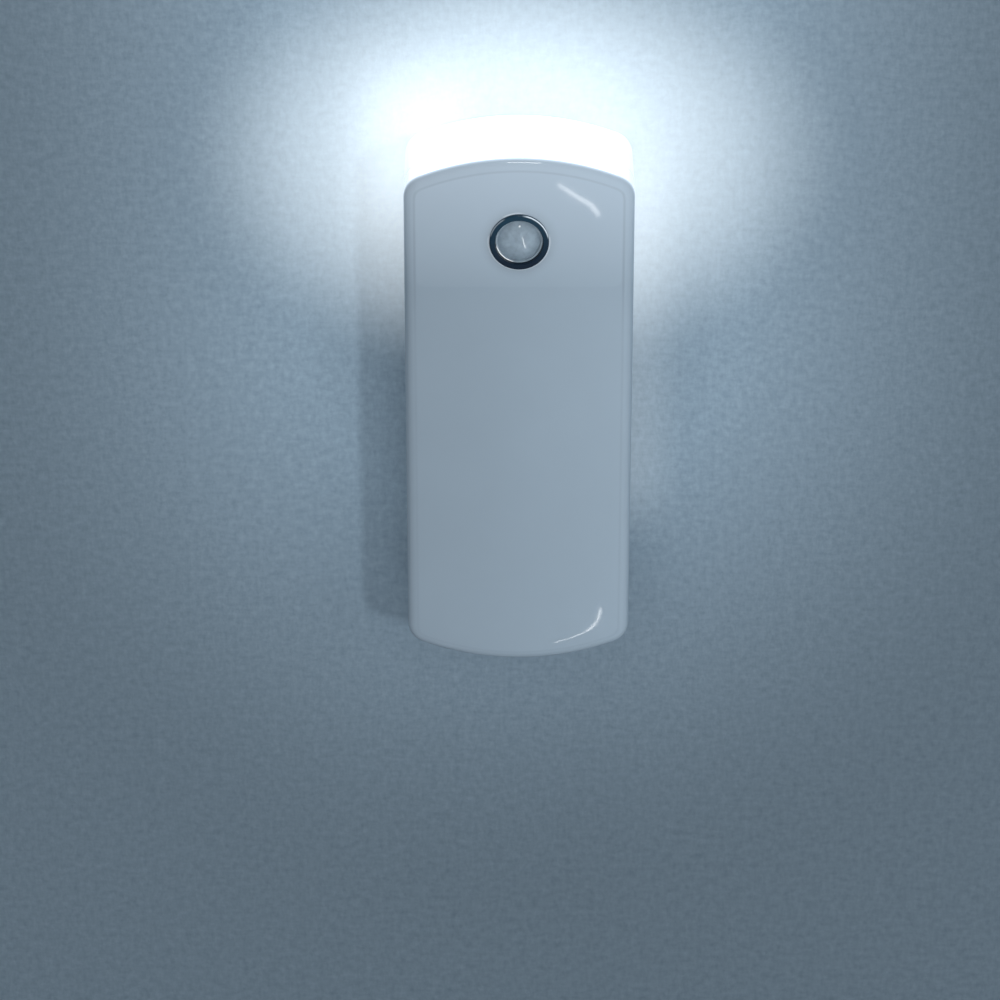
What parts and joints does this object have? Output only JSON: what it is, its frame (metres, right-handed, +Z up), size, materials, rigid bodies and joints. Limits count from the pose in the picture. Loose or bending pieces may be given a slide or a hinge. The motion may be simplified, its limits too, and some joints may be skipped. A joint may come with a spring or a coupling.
{
  "type": "plug-in night light",
  "caption": "Slim plug-in wall night light with curved ends, a black-ringed motion sensor lens on the front, a lit top window and a slide switch on the side.",
  "frame": {"origin": "midway between the two plug blades, on the face that rests on the outlet", "axes": "+Z up along the body, +Y into the wall along the blades, -Y out of the front, +X to the right seen from the front"},
  "size_m": [0.052, 0.0458, 0.129],
  "materials": {
    "cover_plastic": "glossy milky plastic",
    "housing_plastic": "glossy milky plastic",
    "frosted_window": "frosted translucent plastic, lit from within",
    "white_reflector": "white satin plastic",
    "white_board": "white solder mask",
    "led_body": "moulded package",
    "led_phosphor": "phosphor gel",
    "steel_screw": "zinc plated",
    "red_wire": "insulation",
    "black_wire": "insulation",
    "white_wire": "insulation",
    "black_ring": "polished black",
    "milky_lens": "milky moulded lens",
    "black_sleeve": "moulded black",
    "sensor_can": "drawn metal",
    "sensor_filter": "dark filter",
    "white_spacer": "moulded",
    "green_board": "green solder mask",
    "film_capacitor_case": "moulded case",
    "capacitor_sleeve": "shrink sleeve",
    "black_package": "moulded package",
    "resistor_coat": "lacquer",
    "small_parts": "ceramic",
    "light_cell": "clear coat",
    "solder": "tin",
    "plug_plastic": "glossy milky plastic",
    "blade_brass": "nickel-tinted brass",
    "clamp_plastic": "moulded"
  },
  "bodies": {
    "body": {"rear_housing": "housing_plastic", "front_cover": "cover_plastic", "top_window": "frosted_window", "light_reflector": "white_reflector", "led_board": "white_board", "led_bodies": "led_body", "led_phosphors": "led_phosphor", "led_screws": "steel_screw", "led_wire_red": "red_wire", "led_wire_black": "black_wire", "sensor_bezel": "black_ring", "sensor_lens": "milky_lens", "sensor_shroud": "black_sleeve", "pir_can": "sensor_can", "pir_filter": "sensor_filter", "pir_spacer": "white_spacer", "main_board": "green_board", "board_screws": "steel_screw", "film_capacitor": "film_capacitor_case", "electrolytic_capacitor": "capacitor_sleeve", "bridge_rectifier": "black_package", "fusible_resistor": "resistor_coat", "control_chip": "black_package", "chip_parts": "small_parts", "light_sensor": "light_cell", "solder_joints": "solder", "switch_frame": "sensor_can", "plug_base": "plug_plastic", "live_blade": "blade_brass", "neutral_blade": "blade_brass", "plug_clamp": "clamp_plastic", "clamp_screws": "steel_screw", "live_wire": "black_wire", "neutral_wire": "white_wire", "case_screws": "steel_screw"},
    "switch_grip": {"switch_slider": "black_sleeve", "mode_knob": "housing_plastic"}
  },
  "joints": [
    {"name": "mode_slide", "type": "slide", "parent": "body", "child": "switch_grip", "axis": [0, 0, 1], "range_m": [-0.0025, 0.0025]}
  ]
}
